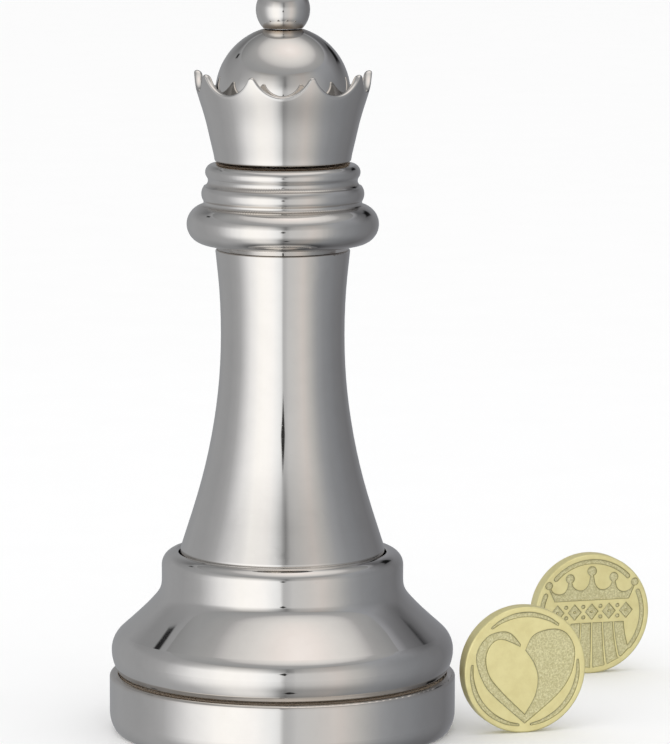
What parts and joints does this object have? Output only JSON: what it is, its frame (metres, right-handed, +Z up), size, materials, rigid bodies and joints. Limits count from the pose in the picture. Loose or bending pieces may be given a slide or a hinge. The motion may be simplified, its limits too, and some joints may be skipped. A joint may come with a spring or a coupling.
{
  "type": "chess queen puzzle",
  "caption": "Plated metal chess queen that comes apart: turning bell foot, lift-out column, spinning crown with a pull-up ball finial, and loose brass coins for the chamber inside.",
  "frame": {"origin": "centre of the underside of the foot disc, on the surface it stands on", "axes": "+Z up the axis of the piece to the finial; -Y is the front; the loose coins stand towards +X"},
  "size_m": [0.0742, 0.0646, 0.0994],
  "materials": {
    "plated_metal": "mirror-polished nickel-chrome plating on a zinc casting",
    "pale_brass": "struck pale brass, satin, sand-textured in the sunk fields",
    "turned_brass": "machined, fine turning marks",
    "steel": "turned, bright",
    "spring_steel": "tempered, slightly dark",
    "bearing_steel": "ground and polished",
    "white_plastic": "low-friction plastic, matte",
    "black_rubber": "nitrile, matte"
  },
  "bodies": {
    "foot": {"base_disc": "plated_metal", "coin_cup": "turned_brass", "cup_screws": "steel", "thrust_washer": "white_plastic", "cup_snap_ring": "spring_steel"},
    "bell": {"base_bell": "plated_metal", "lock_ring_clip": "spring_steel", "stop_pin": "steel"},
    "lock": {"lock_ring": "turned_brass"},
    "column": {"column": "plated_metal", "column_plug": "steel", "key_pins": "steel", "friction_ring": "black_rubber", "collar": "plated_metal", "ball_cage": "steel"},
    "crown": {"crown": "plated_metal", "crown_bush": "turned_brass", "dome": "plated_metal", "spindle_spring": "spring_steel"},
    "finial": {"finial_ball": "plated_metal", "spindle": "steel", "spring_washer": "steel", "spindle_clip": "spring_steel"},
    "ball_1": {"lock_ball_1": "bearing_steel"},
    "ball_2": {"lock_ball_2": "bearing_steel"},
    "ball_3": {"lock_ball_3": "bearing_steel"},
    "tilt_1": {"tilt_pin_1": "steel"},
    "tilt_2": {"tilt_pin_2": "steel"},
    "loose_coin_1": {"coin_1": "pale_brass"},
    "loose_coin_2": {"coin_2": "pale_brass"}
  },
  "joints": [
    {"name": "bell_spin", "type": "hinge", "parent": "foot", "child": "bell", "pos_m": [0, 0, 0.008], "axis": [0, 0, 1], "continuous": true},
    {"name": "column_turn", "type": "hinge", "parent": "bell", "child": "lock", "pos_m": [0, 0, 0.016], "axis": [0, 0, 1], "range_deg": [0, 60]},
    {"name": "column_lift", "type": "slide", "parent": "lock", "child": "column", "axis": [0, 0, 1], "range_m": [0, 0.03]},
    {"name": "crown_spin", "type": "hinge", "parent": "column", "child": "crown", "pos_m": [0, 0, 0.0788], "axis": [0, 0, 1], "continuous": true},
    {"name": "finial_pull", "type": "slide", "parent": "crown", "child": "finial", "axis": [0, 0, 1], "range_m": [0, 0.004], "stiffness_N_per_m": 400, "springref_m": -0.004, "deforming": ["spindle_spring"]},
    {"name": "lock_ball_1_slide", "type": "slide", "parent": "column", "child": "ball_1", "axis": [0, -1, 0], "range_m": [0, 0.0012]},
    {"name": "lock_ball_2_slide", "type": "slide", "parent": "column", "child": "ball_2", "axis": [0.866, 0.5, 0], "range_m": [0, 0.0012]},
    {"name": "lock_ball_3_slide", "type": "slide", "parent": "column", "child": "ball_3", "axis": [-0.866, 0.5, 0], "range_m": [0, 0.0012]},
    {"name": "tilt_pin_1_slide", "type": "slide", "parent": "column", "child": "tilt_1", "axis": [0, 1, 0], "range_m": [0, 0.0013]},
    {"name": "tilt_pin_2_slide", "type": "slide", "parent": "column", "child": "tilt_2", "axis": [0, -1, 0], "range_m": [0, 0.0013]},
    {"name": "coin_1_lift", "type": "slide", "parent": "foot", "child": "loose_coin_1", "axis": [0, 0, 1], "range_m": [0, 0.03]},
    {"name": "coin_2_lift", "type": "slide", "parent": "foot", "child": "loose_coin_2", "axis": [0, 0, 1], "range_m": [0, 0.03]}
  ],
  "couplings": [
    {"joint": "lock_ball_1_slide", "follows": "finial_pull", "ratio": 0.2875},
    {"joint": "lock_ball_2_slide", "follows": "finial_pull", "ratio": 0.2875},
    {"joint": "lock_ball_3_slide", "follows": "finial_pull", "ratio": 0.2875}
  ]
}
